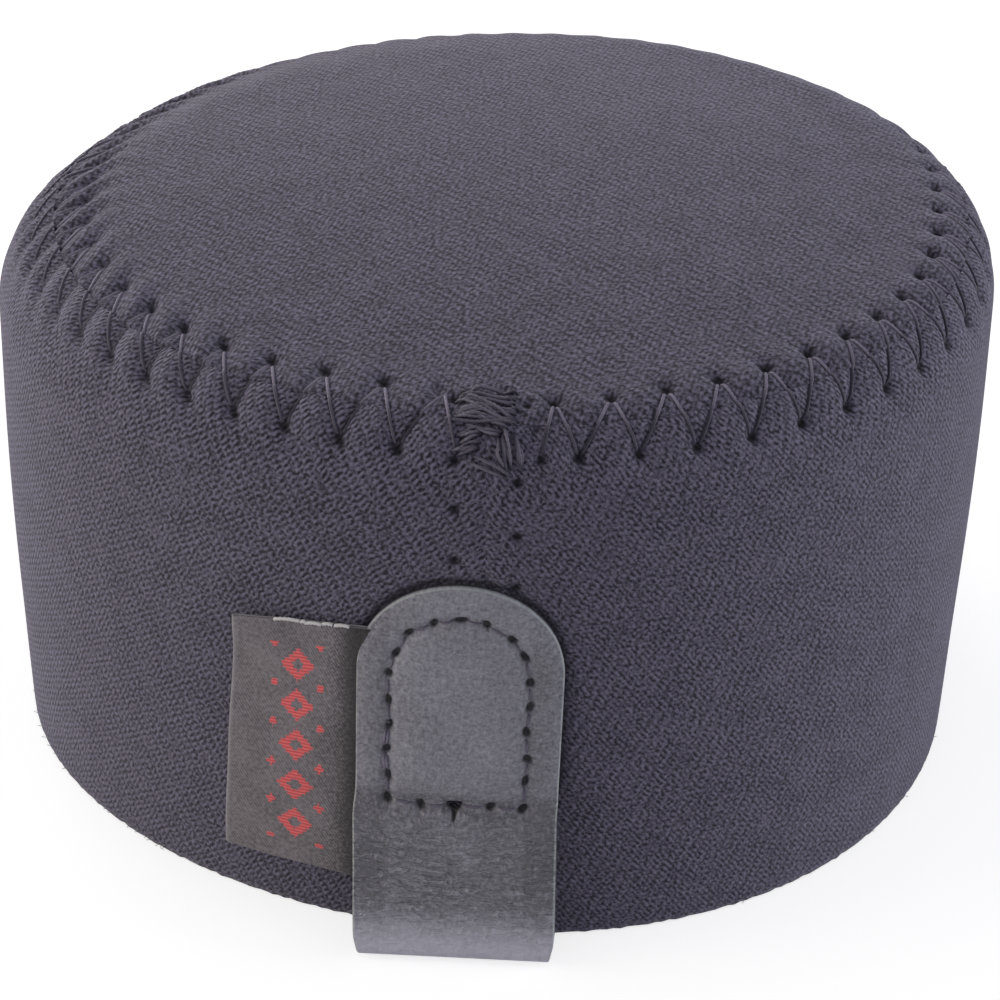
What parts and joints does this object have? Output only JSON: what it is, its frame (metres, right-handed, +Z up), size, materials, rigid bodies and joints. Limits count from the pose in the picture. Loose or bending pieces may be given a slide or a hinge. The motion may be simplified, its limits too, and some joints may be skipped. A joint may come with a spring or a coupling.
{
  "type": "soft lens cap",
  "caption": "Round padded fabric hood that stretches over the front of a lens, with a folded pull tab and a folded woven label sewn on.",
  "frame": {"origin": "at the hem's level, under the cap's axis from left to right, and midway between the front of the pull tab and the back of the rim", "axes": "+Z up, from the mouth to the crown; -Y to the front, where the pull tab and the label are; +X to the right, seen from the front"},
  "size_m": [0.0963, 0.0998, 0.0555],
  "materials": {
    "face_fabric": "fine knitted jersey, matt",
    "lining_fabric": "fine knitted jersey, matt",
    "foam": "closed cell foam rubber, cut edge",
    "disc": "moulded sheet",
    "strap": "fine grain, satin",
    "thread": "twisted polyester thread",
    "label": "satin weave"
  },
  "bodies": {
    "hood": {"crown_face": "face_fabric", "crown_foam": "foam", "crown_disc": "disc", "crown_lining": "lining_fabric", "wall_face": "face_fabric", "wall_foam": "foam", "wall_lining": "lining_fabric", "rim_needle_thread": "thread", "rim_bobbin_thread": "thread", "closing_needle_thread": "thread", "closing_bobbin_thread": "thread", "rim_tack_thread": "thread", "tab_back_leaf": "strap", "tab_front_leaf": "strap", "tab_needle_thread": "thread", "tab_bobbin_thread": "thread", "label_sewn_ends": "label"},
    "tab_fold": {"tab_free_fold": "strap"},
    "label_fold": {"label_free_fold": "label"}
  },
  "joints": [
    {"name": "tab_lift", "type": "hinge", "parent": "hood", "child": "tab_fold", "pos_m": [-0.00388, -0.0483, 0.0159], "axis": [-0.997, 0.0771, 0], "range_deg": [0, 120], "stiffness_Nm_per_rad": 0.001},
    {"name": "label_turn", "type": "hinge", "parent": "hood", "child": "label_fold", "pos_m": [-0.01287, -0.04368, 0.00636], "axis": [0.0127, -0.0479, 0.9988], "range_deg": [0, 80], "stiffness_Nm_per_rad": 0.0002}
  ]
}
